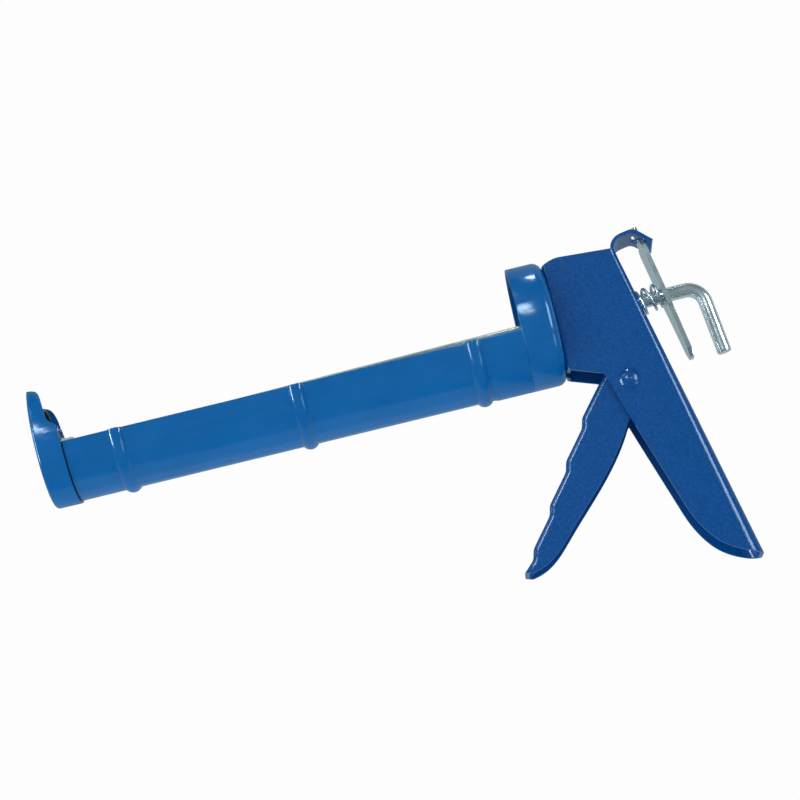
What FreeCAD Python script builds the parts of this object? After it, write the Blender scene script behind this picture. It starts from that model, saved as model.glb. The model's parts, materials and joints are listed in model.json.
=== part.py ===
# Cartridge caulking gun, open half-round cradle type with a one-way friction drive.
# Units are millimetres.  +X runs back along the barrel, +Z is up, the handle hangs down.
# The origin is on the barrel axis, 228 mm behind the outer face of the front cap.
import FreeCAD, Part
import math
import os

V = FreeCAD.Vector
os.makedirs("parts", exist_ok=True)

# Driving dimensions
barrel_length = 228.0        # front cap face to the origin
sheet = 1.0                  # barrel sheet
trough_radius = 27.2         # outside of the cradle
trough_edge_z = -5.8         # top edges of the cradle
bead_positions = (-193.0, -113.0, -34.3)
bead_width = 6.6
bead_height = 1.8
front_cap_radius = 28.2
front_cap_depth = 11.5
slot_width = 20.0            # nozzle slot
rear_cap_radius = 27.6
rear_cap_front = -12.6
rear_cap_back = 3.0
rear_cap_round = 4.5
rod_diameter = 6.35
rod_droop = 0.83             # degrees, the plunger lies low in its clearance holes
rod_droop_x = 45.0           # where the rod crosses the barrel axis
hook_bend_radius = 7.8
hook_bend = 85.0             # degrees
hook_drop = 31.3
handle_width = 24.0
handle_sheet = 1.3
rivet_x = 28.1
rivet_z = -34.8
rivet_diameter = 5.0
trigger_width = 19.2
trigger_sheet = 1.2
finger_pitch = 20.4
plate_thickness = 2.0
plate_tilt = 9.5             # degrees, release plate at rest
plate_pivot = V(47.6, 0, 30.2)


def save(name, shape):
    clean = shape.removeSplitter()
    clean.exportStep("parts/" + name + ".step")
    print(name, clean.ShapeType, len(clean.Solids), clean.isValid(), round(clean.Volume))


def box(x0, x1, y0, y1, z0, z1):
    return Part.makeBox(x1 - x0, y1 - y0, z1 - z0, V(x0, y0, z0))


def rod_x(radius, x0, x1, y=0.0, z=0.0):
    return Part.makeCylinder(radius, x1 - x0, V(x0, y, z), V(1, 0, 0))


def rod_y(radius, y0, y1, x, z):
    return Part.makeCylinder(radius, y1 - y0, V(x, y0, z), V(0, 1, 0))


def tube_y(outer, inner, y0, y1, x, z):
    return rod_y(outer, y0, y1, x, z).cut(rod_y(inner, y0 - 1, y1 + 1, x, z))


def polygon(points):
    return Part.makePolygon([V(x, 0, z) for x, z in points] + [V(points[0][0], 0, points[0][1])])


def slab(points, y0, y1):
    face = Part.Face(polygon(points))
    face.translate(V(0, y0, 0))
    return face.extrude(V(0, y1 - y0, 0))


def slab_of(edges, y0, y1):
    face = Part.Face(Part.Wire(Part.__sortEdges__(edges)))
    face.translate(V(0, y0, 0))
    return face.extrude(V(0, y1 - y0, 0))


def line(a, b):
    return Part.makeLine(V(a[0], 0, a[1]), V(b[0], 0, b[1]))


def arc(a, m, b):
    return Part.Arc(V(a[0], 0, a[1]), V(m[0], 0, m[1]), V(b[0], 0, b[1])).toShape()


def curve(points):
    spline = Part.BSplineCurve()
    spline.interpolate([V(x, 0, z) for x, z in points])
    return spline.toShape()


def turned(points):
    face = Part.Face(polygon(points))
    return face.revolve(V(0, 0, 0), V(1, 0, 0), 360)


def bead_edges(radius, side):
    # Wall line of the cradle with three rounded beads pressed outward.
    edges = []
    x = side[0]
    for centre in bead_positions:
        start = centre - bead_width / 2
        end = centre + bead_width / 2
        edges.append(line((x, radius), (start, radius)))
        edges.append(arc((start, radius), (centre, radius + bead_height), (end, radius)))
        x = end
    return edges, x


# Cradle: rolled sheet, three beads, opened out at the back to meet the rear cap flush.
trough_front = -barrel_length + sheet
trough_back = rear_cap_front
flare_start = -30.0
flare_end = -28.5
flare = rear_cap_radius - trough_radius
outer_edges, outer_x = bead_edges(trough_radius, (trough_front, 0))
inner_edges, inner_x = bead_edges(trough_radius - sheet, (trough_front, 0))
walls = outer_edges + inner_edges
for radius, x in ((trough_radius, outer_x), (trough_radius - sheet, inner_x)):
    walls.append(line((x, radius), (flare_start, radius)))
    walls.append(line((flare_start, radius), (flare_end, radius + flare)))
    walls.append(line((flare_end, radius + flare), (trough_back, radius + flare)))
walls.append(line((trough_front, trough_radius - sheet), (trough_front, trough_radius)))
walls.append(line((trough_back, rear_cap_radius - sheet), (trough_back, rear_cap_radius)))
wall_face = Part.Face(Part.Wire(Part.__sortEdges__(walls)))
trough = wall_face.revolve(V(0, 0, 0), V(1, 0, 0), 360)
trough = trough.cut(box(-240, 10, -40, 40, trough_edge_z, 40))
save("barrel_trough", trough)

# Front cap: pressed cup over the cradle, nozzle slot open upward, an ear each side of it.
cap_back = -barrel_length + front_cap_depth
cup = rod_x(front_cap_radius, -barrel_length, cap_back)
front_edge = [e for e in cup.Edges if abs(e.CenterOfMass.x + barrel_length) < 0.01]
cup = cup.makeFillet(1.6, front_edge)
cup = cup.cut(rod_x(trough_radius, -barrel_length + sheet, cap_back + 1))
ear_line = [(-222.7, 40), (-222.7, 22.4), (-220.6, 5.5), (-219.0, 3.2), (-217.0, 1.8),
            (-216.5, -5.8), (-210, -5.8), (-210, 40)]
cup = cup.cut(slab(ear_line, -40, 40))
ear_top = [(-240, 24.6), (-224.8, 20.6), (-223.4, 19.8), (-222.5, 18.3), (-221.9, 16.0), (-210, 16.0),
           (-210, 40), (-240, 40)]
cup = cup.cut(slab(ear_top, -40, 40))
cup = cup.cut(box(-240, -200, -slot_width / 2, slot_width / 2, 0, 40))
cup = cup.cut(rod_x(slot_width / 2, -240, -200))
save("front_cap", cup)

# Rear cap: closed cup, mouth forward, holes for the rod and the cap rivets.
cap_rivet_y = 7.6
cap_rivet_z = (-16.0, 14.0)
rear = rod_x(rear_cap_radius, rear_cap_front, rear_cap_back)
back_edge = [e for e in rear.Edges
             if abs(e.CenterOfMass.x - rear_cap_back) < 0.01 and abs(e.CenterOfMass.y) < 0.01]
rear = rear.makeFillet(rear_cap_round, back_edge)
floor_x = rear_cap_back - sheet
hollow = rod_x(rear_cap_radius - sheet, rear_cap_front - 5, floor_x)
hollow_edge = [e for e in hollow.Edges if abs(e.CenterOfMass.x - floor_x) < 0.01]
hollow = hollow.makeFillet(rear_cap_round - sheet, hollow_edge)
rear = rear.cut(hollow)
rear = rear.cut(rod_x(4.3, -20, 8))
for y in (-cap_rivet_y, cap_rivet_y):
    for z in cap_rivet_z:
        rear = rear.cut(rod_x(1.6, -20, 8, y, z))
save("rear_cap", rear)

# Handle: one stamping.  Deep channel with its web at the back, two front flanges turned in
# against the rear cap, and a strap carried back over the top for the release plate.
half = handle_width / 2
web_top = V(35.8, 0, 23.6)
web_foot = V(65.4, 0, -121.4)
web_slope = (web_foot.x - web_top.x) / (web_top.z - web_foot.z)
front_x = rear_cap_back


def web_x(z):
    return web_top.x + (web_top.z - z) * web_slope


top_slope = (25.4 - web_top.z) / (web_top.x - 10.9)
side_edges = [
    line((front_x, -24.4), (front_x, 22.9)),
    arc((front_x, 22.9), (6.6, 24.6), (10.9, 25.4)),
    line((10.9, 25.4), (80, 25.4 - 69.1 * top_slope)),
    line((80, 25.4 - 69.1 * top_slope), (80, web_foot.z)),
    line((80, web_foot.z), (web_foot.x, web_foot.z)),
    curve([(web_foot.x, web_foot.z), (56.7, -118.4), (49.1, -113.6), (42.5, -105.4), (37.7, -94.7)]),
    curve([(37.7, -94.7), (30.6, -72.0), (24.1, -51.0), (17.9, -29.8)]),
    line((17.9, -29.8), (front_x, -24.4)),
]
outline = slab_of(side_edges, -half - 1, half + 1)


def web_channel(half_width, back, small, large):
    # Tall block with its two rear edges rounded, the radius growing towards the foot.
    points = [(-10, -160), (web_x(-160) - back, -160), (web_x(60) - back, 60), (-10, 60)]
    block = slab(points, -half_width, half_width)
    rear = [e for e in block.Edges
            if abs(abs(e.CenterOfMass.y) - half_width) < 0.01 and e.CenterOfMass.x > 20 and e.Length > 150]
    if rear[0].valueAt(rear[0].FirstParameter).z > 0:
        return block.makeFillet(small, large, rear)
    return block.makeFillet(large, small, rear)


inner_half = half - handle_sheet
handle = web_channel(half, 0, 2.2, 7.0).common(outline)
handle = handle.cut(web_channel(inner_half, handle_sheet, 1.0, 5.8))
# front flanges turned in, with a rounded bend
bend = 1.6
back_of_flange = front_x + handle_sheet
soft = box(front_x, front_x + 9, -half, half, -40, 40)
soft_edges = [e for e in soft.Edges
              if abs(e.CenterOfMass.x - front_x) < 0.01 and abs(abs(e.CenterOfMass.y) - half) < 0.01]
soft = soft.makeFillet(bend, soft_edges)
flange_core = box(back_of_flange, front_x + 10, -inner_half, inner_half, -41, 41)
core_edges = [e for e in flange_core.Edges
              if abs(e.CenterOfMass.x - back_of_flange) < 0.01
              and abs(abs(e.CenterOfMass.y) - inner_half) < 0.01]
flange_core = flange_core.makeFillet(bend - handle_sheet + 0.1, core_edges)
front_skin = soft.cut(flange_core).common(outline)
front_skin = front_skin.cut(box(-1, front_x + 4, -5.0, 5.0, -60, 60))
handle = handle.cut(box(-1, front_x + 9, -half - 1, half + 1, -60, 60))
handle = handle.fuse(front_skin)
# strap: flat start on the web, rounded crest, short lip sloping down at the back
strap_half = 11.6
strap_outer = [(web_top.x - 1.2, 22.0), (35.2, 26.3), (38.2, 28.8), (42.0, 29.7), (45.4, 29.9),
               (47.7, 28.6), (50.4, 26.1), (53.3, 23.4)]
strap_line = Part.BSplineCurve()
strap_line.interpolate([V(x, -strap_half, z) for x, z in strap_outer])
strap_in = Part.BSplineCurve()
strap_in.interpolate([V(x, -strap_half, z) for x, z in
                      [(web_top.x + 0.1, 21.6), (36.3, 25.4), (38.8, 27.6), (42.2, 28.4), (45.0, 28.6),
                       (46.9, 27.5), (49.5, 25.1), (52.4, 22.4)]])
strap_wire = Part.Wire([
    strap_line.toShape(),
    Part.makeLine(V(53.3, -strap_half, 23.4), V(52.4, -strap_half, 22.4)),
    strap_in.toShape(),
    Part.makeLine(V(web_top.x + 0.1, -strap_half, 21.6), V(web_top.x - 1.2, -strap_half, 22.0)),
])
strap = Part.Face(strap_wire).extrude(V(0, 2 * strap_half, 0))
handle = handle.fuse(strap)
handle = handle.cut(box(45.2, 50.6, -4.6, 4.6, 20, 34))
handle = handle.cut(rod_x(4.4, 30, 50))
handle = handle.cut(rod_y(rivet_diameter / 2, -20, 20, rivet_x, rivet_z))
for y in (-cap_rivet_y, cap_rivet_y):
    for z in cap_rivet_z:
        handle = handle.cut(rod_x(1.6, -5, 9, y, z))
save("handle_shell", handle)

# Cap rivets: four dome-headed rivets through the rear cap and the turned-in flanges.
rivets = []
for y in (-cap_rivet_y, cap_rivet_y):
    for z in cap_rivet_z:
        shank = rod_x(1.6, floor_x - 0.8, back_of_flange + 0.8, y, z)
        ball_front = Part.makeSphere(3.2, V(floor_x + 1.6, y, z)).common(
            box(floor_x - 3, floor_x, y - 4, y + 4, z - 4, z + 4))
        ball_back = Part.makeSphere(3.2, V(back_of_flange - 1.6, y, z)).common(
            box(back_of_flange, back_of_flange + 3, y - 4, y + 4, z - 4, z + 4))
        rivets.append(shank.fuse([ball_front, ball_back]))
save("cap_rivets", Part.makeCompound(rivets))

# Pivot rivet: shank across the channel, a low domed head with a dimple on each side.
pivot = rod_y(rivet_diameter / 2, -half - 0.5, half + 0.5, rivet_x, rivet_z)
head_radius = 4.5
head_height = 1.9
dome = (head_radius ** 2 + head_height ** 2) / (2 * head_height)
for side in (-1, 1):
    centre_y = side * (half + head_height - dome)
    ball = Part.makeSphere(dome, V(rivet_x, centre_y, rivet_z))
    near = min(side * half, side * (half + 3))
    far = max(side * half, side * (half + 3))
    head = ball.common(box(rivet_x - 6, rivet_x + 6, near, far, rivet_z - 6, rivet_z + 6))
    dimple = Part.makeSphere(2.4, V(rivet_x, side * (half + head_height + 2.0), rivet_z))
    pivot = pivot.fuse(head).cut(dimple)
save("pivot_rivet", pivot)

# Pivot washers: one between each handle flange and the trigger.
washer_gap = (inner_half - trigger_width / 2)
washer_thick = washer_gap - 0.5
washer_list = []
for side in (-1, 1):
    outer_y = side * (inner_half)
    inner_y = side * (inner_half - washer_thick)
    washer_list.append(tube_y(5.0, rivet_diameter / 2, min(outer_y, inner_y), max(outer_y, inner_y),
                              rivet_x, rivet_z))
save("pivot_washers", Part.makeCompound(washer_list))

# Trigger: narrower channel, web in front with four finger waves, cheeks reaching up past the
# rivet to round noses that push the drive plates.
t_half = trigger_width / 2
nose = V(rivet_x, 0, -11.0)
nose_radius = 3.2
tip = (-36.0, -106.0)
cheek_top = (17.6, -29.9)


def finger_corners(shift_x, shift_z):
    # Straight runs down the front, each ended by a low bump and a short upright step.
    corners = []
    for i in range(4):
        x = 4.1 - 0.557 * finger_pitch * i + shift_x
        z = -46.0 - 0.830 * finger_pitch * i + shift_z
        corners.append((x, z))
        corners.append((x - 1.1, z - 4.4))
    return corners


def soften(shape, corners, y_side, radius):
    # Rounds the corners of the front line, then the long edges along both cheeks.
    upright = []
    for edge in shape.Edges:
        middle = edge.CenterOfMass
        for x, z in corners:
            if abs(middle.x - x) < 0.01 and abs(middle.z - z) < 0.01:
                upright.append(edge)
    shape = shape.makeFillet(5.5, upright)
    run = []
    for edge in shape.Edges:
        middle = edge.CenterOfMass
        if abs(abs(middle.y) - y_side) < 0.01 and edge.Length < 40:
            along = (middle.x - corners[0][0]) * 0.557 + (middle.z - corners[0][1]) * 0.830
            off = (middle.x - corners[0][0]) * 0.830 - (middle.z - corners[0][1]) * 0.557
            if abs(off) < 3.6 and -70.5 < along < 33:
                run.append(edge)
    return shape.makeFillet(radius, run)


nose_front = (nose.x - nose_radius, nose.z)
nose_top = (nose.x, nose.z + nose_radius)
nose_back = (nose.x + nose_radius, nose.z)
neck_front = (nose.x - nose_radius + 0.1, -18.0)
front_corners = finger_corners(0, 0)
front_line = [cheek_top] + front_corners + [tip]
cheek_edges = [line(front_line[i], front_line[i + 1]) for i in range(len(front_line) - 1)]
cheek_edges = cheek_edges + [
    line(tip, (-32.8, -106.9)),
    curve([(-32.8, -106.9), (-25.0, -104.4), (-11.7, -92.7), (0.5, -80.5), (12.1, -68.1), (23.3, -52.3)]),
    curve([(23.3, -52.3), (31.0, -43.0), (35.0, -34.5)]),
    line((35.0, -34.5), nose_back),
    arc(nose_back, nose_top, nose_front),
    line(nose_front, neck_front),
    line(neck_front, (20.4, -28.4)),
    line((20.4, -28.4), cheek_top),
]
trigger = soften(slab_of(cheek_edges, -t_half, t_half), front_corners, t_half, 2.2)
inner_corners = finger_corners(1.0, -0.67)
inner_line = [(18.6, -30.6)] + inner_corners + [(-34.9, -107.4)]
inner_edges = [line(inner_line[i], inner_line[i + 1]) for i in range(len(inner_line) - 1)]
inner_edges = inner_edges + [
    line((-34.9, -107.4), (-34.9, -140)),
    line((-34.9, -140), (70, -140)),
    line((70, -140), (70, 10)),
    line((70, 10), (18.6, 10)),
    line((18.6, 10), (18.6, -30.6)),
]
t_inner = t_half - trigger_sheet
hollow = soften(slab_of(inner_edges, -t_inner, t_inner), inner_corners, t_inner, 1.0)
trigger = trigger.cut(hollow)
trigger = trigger.cut(rod_y(4.0, -20, 20, rivet_x, rivet_z))
save("trigger", trigger)

# Sleeve pressed in the trigger cheeks; it turns on the rivet.
save("trigger_bush", tube_y(4.0, rivet_diameter / 2 + 0.05, -t_half, t_half, rivet_x, rivet_z))


def droop(shape):
    shape.rotate(V(rod_droop_x, 0, 0), V(0, 1, 0), -rod_droop)
    return shape


def rod_z(x):
    return (x - rod_droop_x) * math.tan(math.radians(rod_droop))


# Drive plates: two loose plates on the rod in front of the trigger noses.
drive_back = nose.x - nose_radius - 0.5
drive_thick = 2.0


def drive_plate(x0):
    plate = box(x0, x0 + drive_thick, -9.3, 9.3, -16.5, 12.5)
    corners = [e for e in plate.Edges if abs(e.Length - drive_thick) < 0.01]
    plate = plate.makeFillet(2.5, corners)
    return plate.cut(rod_x(3.75, x0 - 1, x0 + 4, 0, rod_z(x0)))


save("drive_plate_rear", drive_plate(drive_back - drive_thick))
save("drive_plate_front", drive_plate(drive_back - 2 * drive_thick - 0.2))

# Spring seat: flat ring across the gap between the turned-in flanges.
seat_thick = 0.8
seat = rod_x(9.6, back_of_flange, back_of_flange + seat_thick).cut(rod_x(4.2, 0, 8))
save("spring_seat", seat)


def coil(radius, wire, length, turns, closed):
    # Round-wire spring along +Z from z = 0 with nearly touching end turns, wire ends included in
    # the length.
    end_rise = 1.04 * wire * closed
    open_pitch = (length - wire - 2 * end_rise) / (turns - 2 * closed)
    steps = round(turns * 12)
    points = []
    for i in range(steps + 1):
        turn = turns * i / steps
        low = min(turn, closed)
        high = max(turn - (turns - closed), 0)
        middle = turn - low - high
        z = wire / 2 + 1.04 * wire * (low + high) + open_pitch * middle
        angle = 2 * math.pi * turn
        points.append(V(radius * math.cos(angle), radius * math.sin(angle), z))
    spline = Part.BSplineCurve()
    spline.interpolate(points)
    heading = spline.tangent(spline.FirstParameter)[0]
    section = Part.Wire(Part.makeCircle(wire / 2, points[0], heading))
    return Part.Wire(spline.toShape()).makePipeShell([section], True, False)


# Drive spring: from the seat to the front drive plate.
drive_from = back_of_flange + seat_thick + 0.1
drive_to = drive_back - 2 * drive_thick - 0.2 - 0.1
spring = coil(6.0, 1.2, drive_to - drive_from, 3.2, 0.6)
spring.rotate(V(0, 0, 0), V(0, 1, 0), 90)
spring.translate(V(drive_from, 0, -0.3))
save("drive_spring", spring)

# Release plate: flat zinc plate hung by its tongue in the strap slot, rod through it.
plate_points = [(-7.8, -5.8), (-9.8, -7.8), (-9.8, -36.4), (-8.8, -38.2), (-6.6, -57.2), (-3.2, -61.0)]
plate_points = plate_points + [(-y, z) for y, z in reversed(plate_points)]
plate_wire = Part.makePolygon([V(-plate_thickness / 2, y, z) for y, z in plate_points + plate_points[:1]])
plate = Part.Face(plate_wire).extrude(V(plate_thickness, 0, 0))
tongue = box(-plate_thickness / 2, plate_thickness / 2, -4.1, 4.1, -8.0, 2.6)
tongue_top = [e for e in tongue.Edges if abs(e.Length - plate_thickness) < 0.01 and e.CenterOfMass.z > 2]
tongue = tongue.makeFillet(1.2, tongue_top)
plate = plate.fuse(tongue)
plate = plate.cut(rod_x(3.9, -5, 5, 0, -30.5))
plate.translate(plate_pivot)
plate.rotate(plate_pivot, V(0, 1, 0), -plate_tilt)
save("release_plate", plate)

# Release spring: around the rod between the handle web and the release plate.
spring_tilt = 10.4
start_x = web_x(0.4)
release = coil(5.3, 1.3, 10.6, 2.9, 0.6)
release.rotate(V(0, 0, 0), V(0, 0, 1), 90)
release.rotate(V(0, 0, 0), V(0, 1, 0), 90 - spring_tilt)
release.translate(V(start_x + 0.15, 0, -0.9))
save("release_spring", release)

# Plunger rod: straight from the piston to the hook, bent down, threaded at the front end.
rod_radius = rod_diameter / 2
thread_end = -226.0
thread_start = -205.0
leg_angle = math.radians(90 - hook_bend)
leg_x = 68.9
tangent = hook_bend_radius * math.tan(math.radians(hook_bend / 2))
bend_start = leg_x - tangent
bend_turn = math.radians(hook_bend)
bend_end = V(bend_start + hook_bend_radius * math.sin(bend_turn), 0,
             -hook_bend_radius * (1 - math.cos(bend_turn)))
bend_mid = V(bend_start + hook_bend_radius * math.sin(bend_turn / 2), 0,
             -hook_bend_radius * (1 - math.cos(bend_turn / 2)))
leg_length = (bend_end.z + hook_drop) / math.cos(leg_angle)
leg_end = bend_end + V(math.sin(leg_angle), 0, -math.cos(leg_angle)) * leg_length
path = Part.Wire([
    Part.makeLine(V(thread_start, 0, 0), V(bend_start, 0, 0)),
    Part.Arc(V(bend_start, 0, 0), bend_mid, bend_end).toShape(),
    Part.makeLine(bend_end, leg_end),
])
section = Part.Wire(Part.makeCircle(rod_radius, V(thread_start, 0, 0), V(1, 0, 0)))
rod = path.makePipeShell([section], True, False)
end_edges = [e for e in rod.Edges if (e.CenterOfMass - leg_end).Length < 0.2]
rod = rod.makeFillet(0.7, end_edges)
thread_major = 3.0
thread_minor = 2.55
thread_pitch = 1.4
profile = [(thread_start + 0.5, 0), (thread_start + 0.5, thread_major)]
x = thread_start - 0.4
while x - thread_pitch > thread_end + 0.8:
    profile.append((x, thread_major))
    profile.append((x - thread_pitch / 2, thread_minor))
    x = x - thread_pitch
profile.append((x, thread_major))
profile.append((thread_end + 0.6, thread_major))
profile.append((thread_end, thread_minor - 0.2))
profile.append((thread_end, 0))
rod = rod.fuse(turned(profile))
save("push_rod", droop(rod))

# Piston: pressed disc, rim turned back, dished middle that hides the front nut.
piston_face = -226.5
piston_radius = 20.0
piston_sheet = 1.2
piston_rim = 3.6
dish_radius = 9.6
dish_depth = 5.8
dish_face = piston_face + dish_depth
bore = thread_major + 0.05
cup_profile = [
    (dish_face, bore), (dish_face, dish_radius - 1.2), (piston_face + 0.6, dish_radius),
    (piston_face, dish_radius + 0.7), (piston_face, piston_radius - 1.5),
    (piston_face + 0.45, piston_radius - 0.45), (piston_face + 1.5, piston_radius),
    (piston_face + piston_rim, piston_radius), (piston_face + piston_rim, piston_radius - piston_sheet),
    (piston_face + piston_sheet, piston_radius - piston_sheet - 0.3),
    (piston_face + piston_sheet, dish_radius + piston_sheet),
    (dish_face + piston_sheet, dish_radius - 0.6),
    (dish_face + piston_sheet, bore),
]
save("piston_disc", droop(turned(cup_profile)))


def ring_x(x0, x1, outer, inner):
    return rod_x(outer, x0, x1).cut(rod_x(inner, x0 - 1, x1 + 1))


def nut_x(x0, x1, flats):
    corner = flats / math.sqrt(3)
    points = [V(x0, corner * math.sin(math.radians(60 * i)), corner * math.cos(math.radians(60 * i)))
              for i in range(7)]
    hexagon = Part.Face(Part.makePolygon(points)).extrude(V(x1 - x0, 0, 0))
    rounder = turned([(x0, 0), (x0, flats / 2), (x0 + 0.5, corner), (x1 - 0.5, corner), (x1, flats / 2),
                      (x1, 0)])
    return hexagon.common(rounder).cut(rod_x(bore, x0 - 1, x1 + 1))


nut_flats = 9.0
washer_front = dish_face + piston_sheet + 0.1
washer_back = washer_front + 1.4
lock_back = dish_face - 0.1
lock_front = lock_back - 0.9
save("piston_washer", droop(ring_x(washer_front, washer_back, 5.6, bore)))
save("piston_back_nut", droop(nut_x(washer_back, washer_back + 4.4, nut_flats)))
save("piston_lock_washer", droop(ring_x(lock_front, lock_back, 4.7, bore)))
save("piston_nut", droop(nut_x(lock_front - 4.0, lock_front, nut_flats)))
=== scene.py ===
import bpy
import json
import math
from mathutils import Matrix, Vector


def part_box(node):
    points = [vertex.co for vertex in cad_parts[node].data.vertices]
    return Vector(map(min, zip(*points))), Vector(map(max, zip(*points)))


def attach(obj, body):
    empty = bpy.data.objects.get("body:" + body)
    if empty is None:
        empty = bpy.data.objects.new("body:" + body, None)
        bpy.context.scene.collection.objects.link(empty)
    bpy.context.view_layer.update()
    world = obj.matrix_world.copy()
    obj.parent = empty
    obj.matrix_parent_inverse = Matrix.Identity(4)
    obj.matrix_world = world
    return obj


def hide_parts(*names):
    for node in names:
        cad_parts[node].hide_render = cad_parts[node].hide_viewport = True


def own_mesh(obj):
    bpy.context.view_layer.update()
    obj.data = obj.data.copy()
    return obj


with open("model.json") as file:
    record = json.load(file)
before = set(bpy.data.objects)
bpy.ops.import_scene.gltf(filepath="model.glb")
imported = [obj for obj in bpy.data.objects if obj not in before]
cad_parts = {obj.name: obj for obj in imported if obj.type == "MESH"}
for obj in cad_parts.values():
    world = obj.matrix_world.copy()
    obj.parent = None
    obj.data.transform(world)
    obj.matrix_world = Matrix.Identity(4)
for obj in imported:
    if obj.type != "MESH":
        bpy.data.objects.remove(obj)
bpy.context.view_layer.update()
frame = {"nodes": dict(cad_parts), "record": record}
nodes = frame["nodes"]

MICRON = 0.000001
SPRINGS = ("drive_spring", "release_spring")


# ---------------------------------------------------------------- material tools
def new_material(name):
    """A material, its nodes and links, and its main shader."""
    material = bpy.data.materials.new(name)
    material.use_nodes = True
    tree = material.node_tree
    return material, tree.nodes, tree.links, tree.nodes["Principled BSDF"]


def noise(n, links, coords, scale, detail, rough=0.55, stretch=None):
    """Cloudy noise in the piece's own space, drawn out along an axis by stretch."""
    texture = n.new("ShaderNodeTexNoise")
    texture.inputs["Scale"].default_value = scale
    texture.inputs["Detail"].default_value = detail
    texture.inputs["Roughness"].default_value = rough
    source = coords.outputs["Object"]
    if stretch:
        mapping = n.new("ShaderNodeMapping")
        mapping.inputs["Scale"].default_value = stretch
        links.new(source, mapping.inputs["Vector"])
        source = mapping.outputs["Vector"]
    links.new(source, texture.inputs["Vector"])
    return texture.outputs["Fac"]


def ramp(n, links, source, stops):
    """Colours along a value, as (place, colour) pairs from low to high."""
    node = n.new("ShaderNodeValToRGB")
    first, last = node.color_ramp.elements
    first.position, first.color = stops[0]
    last.position, last.color = stops[-1]
    for place, colour in stops[1:-1]:
        node.color_ramp.elements.new(place).color = colour
    links.new(source, node.inputs["Fac"])
    return node.outputs["Color"]


def map_range(n, links, source, source_span, result_span):
    """A value carried from one span to another, and held at both ends."""
    node = n.new("ShaderNodeMapRange")
    node.inputs["From Min"].default_value, node.inputs["From Max"].default_value = source_span
    node.inputs["To Min"].default_value, node.inputs["To Max"].default_value = result_span
    links.new(source, node.inputs["Value"])
    return node.outputs["Result"]


def spread(n, links, source, low, high):
    """Noise values, which crowd round 0.5, spread over low to high."""
    return map_range(n, links, source, (0.3, 0.7), (low, high))


def bump(n, links, source, strength, distance, below=None):
    """Relief from a value, laid over another relief if one is given."""
    node = n.new("ShaderNodeBump")
    node.inputs["Strength"].default_value = strength
    node.inputs["Distance"].default_value = distance
    links.new(source, node.inputs["Height"])
    if below:
        links.new(below, node.inputs["Normal"])
    return node.outputs["Normal"]


def math_node(n, links, operation, source, *values):
    """One sum on a value."""
    node = n.new("ShaderNodeMath")
    node.operation = operation
    links.new(source, node.inputs[0])
    for index, value in enumerate(values, start=1):
        node.inputs[index].default_value = value
    return node.outputs["Value"]


# ---------------------------------------------------------------- materials
def seam_shade(n, links, coords, colour, seam):
    """The thin line of shadow where the front cap laps over the cradle, at x = seam."""
    axes = n.new("ShaderNodeSeparateXYZ")
    links.new(coords.outputs["Object"], axes.inputs["Vector"])
    offset = math_node(n, links, "SUBTRACT", axes.outputs["X"], seam)
    away = math_node(n, links, "ABSOLUTE", offset)
    shade = map_range(n, links, away, (100 * MICRON, 500 * MICRON), (0.15, 1.0))
    scale = n.new("ShaderNodeVectorMath")
    scale.operation = "SCALE"
    links.new(colour, scale.inputs[0])
    links.new(shade, scale.inputs["Scale"])
    return scale.outputs["Vector"]


def gloss_enamel(seam):
    """Smooth stoved enamel: soft orange peel, a little dust, fine scuffs in the gloss."""
    material, n, links, shader = new_material("barrel_enamel")
    coords = n.new("ShaderNodeTexCoord")
    cloud = noise(n, links, coords, 38.0, 3.0)
    colour = ramp(n, links, cloud, [
        (0.30, (0.0006, 0.114, 0.375, 1)),
        (0.50, (0.0008, 0.124, 0.402, 1)),
        (0.72, (0.0012, 0.134, 0.428, 1))])
    links.new(seam_shade(n, links, coords, colour, seam), shader.inputs["Base Color"])

    scuff = noise(n, links, coords, 260.0, 6.0, 0.7, (0.25, 1.0, 1.0))
    links.new(spread(n, links, scuff, 0.12, 0.24), shader.inputs["Roughness"])

    peel = bump(n, links, noise(n, links, coords, 300.0, 2.0, 0.4), 0.12, 300 * MICRON)
    dust = n.new("ShaderNodeTexVoronoi")
    dust.inputs["Scale"].default_value = 210.0
    links.new(coords.outputs["Object"], dust.inputs["Vector"])
    speck = map_range(n, links, dust.outputs["Distance"], (0.0, 0.09), (1.0, 0.0))
    links.new(bump(n, links, speck, 0.06, 200 * MICRON, peel), shader.inputs["Normal"])
    shader.inputs["Specular IOR Level"].default_value = 0.4
    return material


def satin_enamel():
    """Darker satin paint with a fine hammered fleck."""
    material, n, links, shader = new_material("handle_enamel")
    coords = n.new("ShaderNodeTexCoord")
    fleck = noise(n, links, coords, 1300.0, 3.0, 0.6)
    colour = ramp(n, links, fleck, [
        (0.30, (0.0001, 0.066, 0.265, 1)),
        (0.50, (0.0002, 0.074, 0.298, 1)),
        (0.72, (0.0006, 0.090, 0.352, 1))])
    links.new(colour, shader.inputs["Base Color"])
    links.new(spread(n, links, fleck, 0.16, 0.26), shader.inputs["Roughness"])
    links.new(bump(n, links, fleck, 0.05, 300 * MICRON), shader.inputs["Normal"])
    shader.inputs["Specular IOR Level"].default_value = 0.36
    return material


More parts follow.
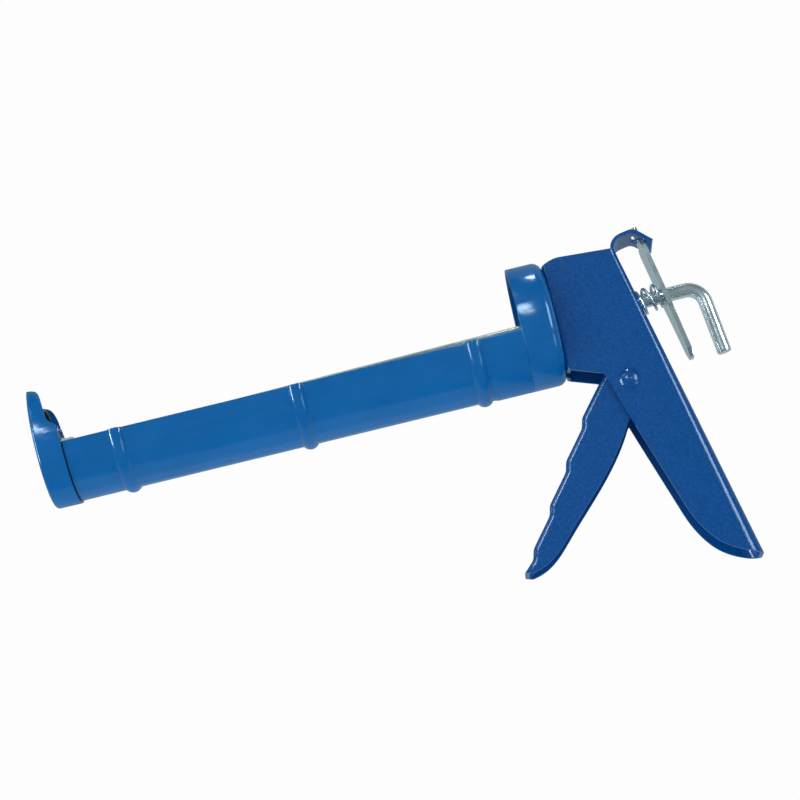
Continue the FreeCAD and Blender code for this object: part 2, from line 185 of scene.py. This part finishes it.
def bare_metal(name, dark, light, smooth, dull):
    """Steel, plated or bare, with draw lines, dulled patches and shallow pits."""
    material, n, links, shader = new_material(name)
    coords = n.new("ShaderNodeTexCoord")
    draw = noise(n, links, coords, 900.0, 3.0, 0.6, (0.15, 1.0, 1.0))
    cloud = noise(n, links, coords, 90.0, 5.0, 0.65)
    colour = ramp(n, links, cloud, [(0.32, dark), (0.68, light)])
    links.new(colour, shader.inputs["Base Color"])
    shader.inputs["Metallic"].default_value = 0.82
    links.new(spread(n, links, cloud, smooth, dull), shader.inputs["Roughness"])
    lines = bump(n, links, draw, 0.03, 120 * MICRON)
    links.new(bump(n, links, cloud, 0.03, 400 * MICRON, lines), shader.inputs["Normal"])
    return material


cap_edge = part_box("front_cap")[1][0]
looks = {
    "barrel_enamel": gloss_enamel(cap_edge + 200 * MICRON),
    "handle_enamel": satin_enamel(),
    "zinc_steel": bare_metal("zinc_steel", (0.78, 0.85, 0.88, 1), (0.93, 0.97, 0.99, 1), 0.12, 0.24),
    "hard_steel": bare_metal("hard_steel", (0.05, 0.05, 0.055, 1), (0.10, 0.10, 0.11, 1), 0.34, 0.50),
}
slots = {part["node"]: part["material_slot"] for part in frame["record"]["subparts"]}


# ---------------------------------------------------------------- pieces
def dress(name, piece):
    """The node's material, joined seams, and a small round on its sharp edges."""
    piece.data.materials.clear()
    piece.data.materials.append(looks[slots[name]])
    weld = piece.modifiers.new("weld", "WELD")
    weld.merge_threshold = 2 * MICRON
    if name not in SPRINGS:
        edge = piece.modifiers.new("edge", "BEVEL")
        edge.width = 280 * MICRON
        edge.segments = 2
        edge.limit_method = "ANGLE"
        edge.angle_limit = math.radians(32)
        edge.harden_normals = True


def springy(name):
    """The coil as its own piece on the frame, in place of the node, which is hidden."""
    coil = bpy.data.objects.new(name + "_coil", nodes[name].data.copy())
    bpy.context.collection.objects.link(coil)
    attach(coil, "frame")
    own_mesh(coil)
    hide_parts(name)


for node_name, node in nodes.items():
    dress(node_name, node)
springy("drive_spring")
springy("release_spring")


# ---------------------------------------------------------------- floor
def lay_floor(half_width, height):
    """A plain pale floor, well below the object so that every side is seen against it."""
    mesh = bpy.data.meshes.new("floor")
    corners = [(-1, -1), (1, -1), (1, 1), (-1, 1)]
    mesh.from_pydata([(x * half_width, y * half_width, height) for x, y in corners], [], [(0, 1, 2, 3)])
    floor = bpy.data.objects.new("floor", mesh)
    bpy.context.collection.objects.link(floor)
    paper, _, _, shader = new_material("paper")
    shader.inputs["Base Color"].default_value = (0.70, 0.70, 0.70, 1)
    shader.inputs["Roughness"].default_value = 0.85
    shader.inputs["Specular IOR Level"].default_value = 0.0
    shader.inputs["Emission Color"].default_value = (1.0, 1.0, 1.0, 1)
    shader.inputs["Emission Strength"].default_value = 0.47
    mesh.materials.append(paper)
    floor.visible_glossy = False


# ---------------------------------------------------------------- light
def plain_for(n, links, path, ray, strength, behind):
    """An even white seen by one kind of ray only, with what is behind it for the rest."""
    plain = n.new("ShaderNodeBackground")
    plain.inputs["Color"].default_value = (1, 1, 1, 1)
    plain.inputs["Strength"].default_value = strength
    both = n.new("ShaderNodeMixShader")
    links.new(path.outputs[ray], both.inputs["Fac"])
    links.new(behind, both.inputs[1])
    links.new(plain.outputs["Background"], both.inputs[2])
    return both.outputs["Shader"]


def light_room():
    """Even soft light all round; shiny paint and metal pick up a dim front and a paler back."""
    world = bpy.data.worlds.new("studio")
    bpy.context.scene.world = world
    world.use_nodes = True
    n, links = world.node_tree.nodes, world.node_tree.links
    coords = n.new("ShaderNodeTexCoord")
    axes = n.new("ShaderNodeSeparateXYZ")
    links.new(coords.outputs["Generated"], axes.inputs["Vector"])
    front_to_back = math_node(n, links, "MULTIPLY_ADD", axes.outputs["Y"], 0.5, 0.5)
    tones = ramp(n, links, front_to_back, [
        (0.00, (0.07, 0.12, 0.14, 1)),
        (0.30, (0.05, 0.09, 0.10, 1)),
        (0.42, (0.02, 0.03, 0.035, 1)),
        (0.48, (0.012, 0.018, 0.02, 1)),
        (0.54, (0.05, 0.15, 0.15, 1)),
        (0.62, (0.30, 0.40, 0.40, 1))])
    room = n["Background"]
    room.inputs["Strength"].default_value = 1.0
    links.new(tones, room.inputs["Color"])
    path = n.new("ShaderNodeLightPath")
    lit = plain_for(n, links, path, "Is Diffuse Ray", 0.72, room.outputs["Background"])
    seen = plain_for(n, links, path, "Is Camera Ray", 0.985, lit)
    links.new(seen, n["World Output"].inputs["Surface"])


def softbox(name, place, target, width, height, power, lights_matt=False):
    """A soft lamp aimed at a point. Most only put highlights on paint and metal."""
    data = bpy.data.lights.new(name, "AREA")
    data.shape = "RECTANGLE"
    data.size = width
    data.size_y = height
    data.energy = power
    data.color = (0.72, 0.93, 1.0)
    lamp = bpy.data.objects.new(name, data)
    bpy.context.collection.objects.link(lamp)
    lamp.location = place
    lamp.visible_camera = False
    lamp.visible_diffuse = lights_matt
    lamp.rotation_mode = "QUATERNION"
    lamp.rotation_quaternion = (Vector(target) - Vector(place)).to_track_quat("-Z", "Y")


lay_floor(half_width=6.0, height=-0.62)
light_room()
middle = (-0.07, 0.0, -0.02)
grip = (0.03, 0.0, -0.05)
rear_end = (0.05, 0.0, 0.0)
nose = (-0.22, 0.0, 0.0)
softbox("key", (-0.95, -0.80, 1.15), middle, 0.80, 0.60, 4.0, lights_matt=True)
softbox("fill", (1.05, -0.62, -0.80), grip, 0.50, 0.50, 3.5)
softbox("overhead", (0.05, -0.03, 1.00), (0.0, 0.0, 0.0), 0.12, 0.10, 2.2)
softbox("window", (-0.36, -1.20, 0.48), nose, 0.36, 0.30, 9.0)
softbox("left_strip", (-1.25, -0.42, -0.05), middle, 0.10, 0.90, 20.0)
softbox("side_box", (1.15, -0.85, 0.15), rear_end, 0.45, 0.90, 19.0)


# ---------------------------------------------------------------- camera
def place_camera(target, distance, azimuth, elevation, roll, lens):
    """A camera round the target, seen from the front (-Y) and from a little below, then rolled."""
    back = Vector((math.sin(azimuth) * math.cos(elevation),
                   -math.cos(azimuth) * math.cos(elevation),
                   math.sin(elevation)))
    level = (-back).cross(Vector((0, 0, 1))).normalized()
    upright = level.cross(-back)
    right = level * math.cos(roll) - upright * math.sin(roll)
    up = level * math.sin(roll) + upright * math.cos(roll)
    turn = Matrix((right, up, back)).transposed().to_4x4()
    data = bpy.data.cameras.new("camera")
    data.sensor_width = 36.0
    data.lens = lens
    camera = bpy.data.objects.new("camera", data)
    bpy.context.collection.objects.link(camera)
    camera.matrix_world = Matrix.Translation(target + back * distance) @ turn
    bpy.context.scene.camera = camera


place_camera(
    target=Vector((-0.0706, 0.0, -0.0174)),
    distance=1.27,
    azimuth=math.radians(0.2),
    elevation=math.radians(-12.7),
    roll=math.radians(13.6),
    lens=130.6)
bpy.context.scene.view_settings.view_transform = "Standard"
